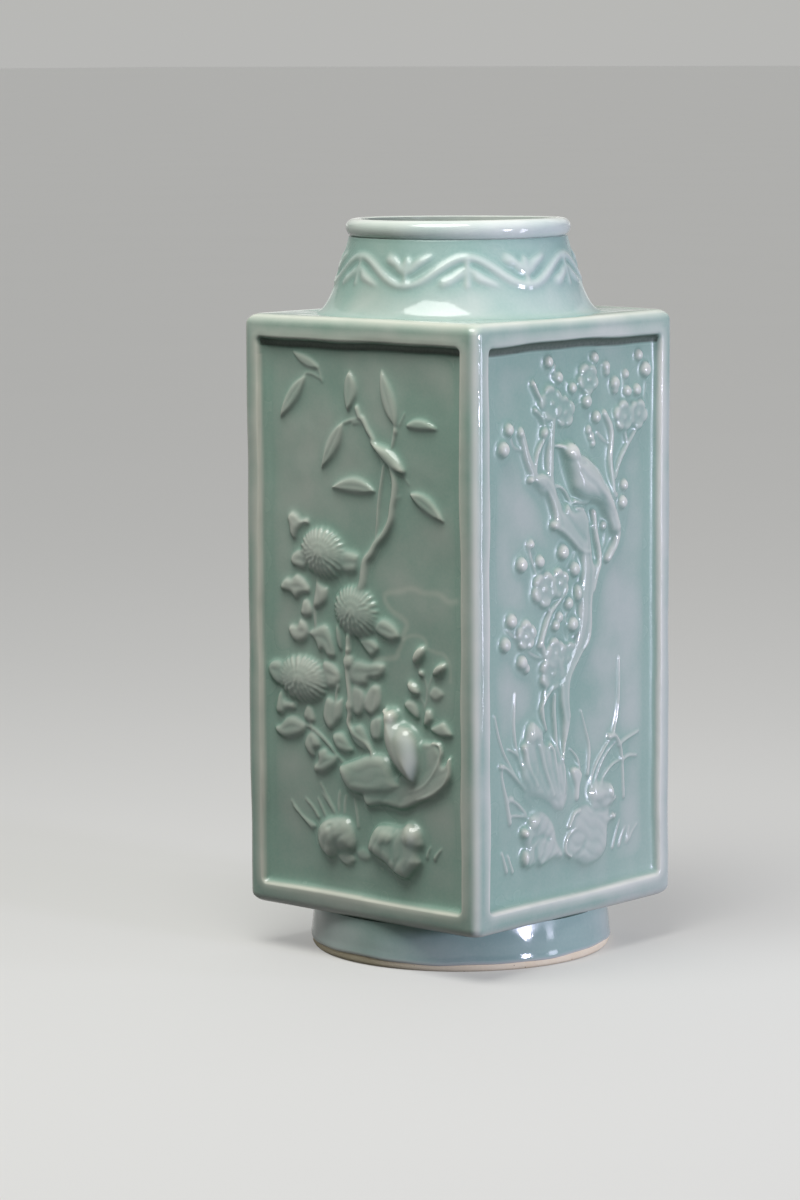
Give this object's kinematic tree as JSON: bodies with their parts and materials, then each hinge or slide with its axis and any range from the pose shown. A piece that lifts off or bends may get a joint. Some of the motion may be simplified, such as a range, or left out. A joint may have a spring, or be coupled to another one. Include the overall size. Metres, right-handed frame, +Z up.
{
  "type": "cong vase",
  "caption": "Square celadon vase with a round neck, rolled lip and round foot, and bird-and-flower relief in sunk panels; holds cut stems or stands as an ornament.",
  "frame": {"origin": "centre of the foot ring's standing face, on the table", "axes": "+Z up the vase's axis, -Y out of the front wall, +X out of the right wall"},
  "size_m": [0.119, 0.119, 0.28],
  "materials": {
    "celadon_glaze": "glossy celadon glaze, pooled green in the hollows and thin and whitish on edges and relief",
    "pale_celadon": "glossy pale celadon glaze",
    "glazed_foot": "glossy celadon glaze, wiped to pale buff biscuit on the standing edge"
  },
  "bodies": {
    "root": {"front_wall": "celadon_glaze", "right_wall": "celadon_glaze", "back_wall": "celadon_glaze", "left_wall": "celadon_glaze", "base_slab": "celadon_glaze", "shoulder_slab": "pale_celadon", "corner_seam_coils": "celadon_glaze", "base_seam_coils": "celadon_glaze", "shoulder_seam_coils": "celadon_glaze", "foot_ring": "glazed_foot", "neck": "pale_celadon", "mouth_rim": "pale_celadon", "neck_vine": "celadon_glaze", "neck_palmettes": "celadon_glaze", "front_bamboo_stems": "celadon_glaze", "front_bamboo_leaves": "celadon_glaze", "front_foliage": "celadon_glaze", "front_chrysanthemums": "celadon_glaze", "front_bud_spray": "celadon_glaze", "front_grass": "celadon_glaze", "front_ground_rocks": "celadon_glaze", "front_perch_rock": "celadon_glaze", "front_bird": "celadon_glaze", "back_bamboo_stems": "celadon_glaze", "back_bamboo_leaves": "celadon_glaze", "back_foliage": "celadon_glaze", "back_chrysanthemums": "celadon_glaze", "back_bud_spray": "celadon_glaze", "back_grass": "celadon_glaze", "back_ground_rocks": "celadon_glaze", "back_perch_rock": "celadon_glaze", "back_bird": "celadon_glaze", "right_prunus_branches": "celadon_glaze", "right_orchid_leaves": "celadon_glaze", "right_rocks": "celadon_glaze", "right_blossoms": "celadon_glaze", "right_buds": "celadon_glaze", "right_bird": "celadon_glaze", "left_prunus_branches": "celadon_glaze", "left_orchid_leaves": "celadon_glaze", "left_rocks": "celadon_glaze", "left_blossoms": "celadon_glaze", "left_buds": "celadon_glaze", "left_bird": "celadon_glaze"}
  },
  "joints": []
}
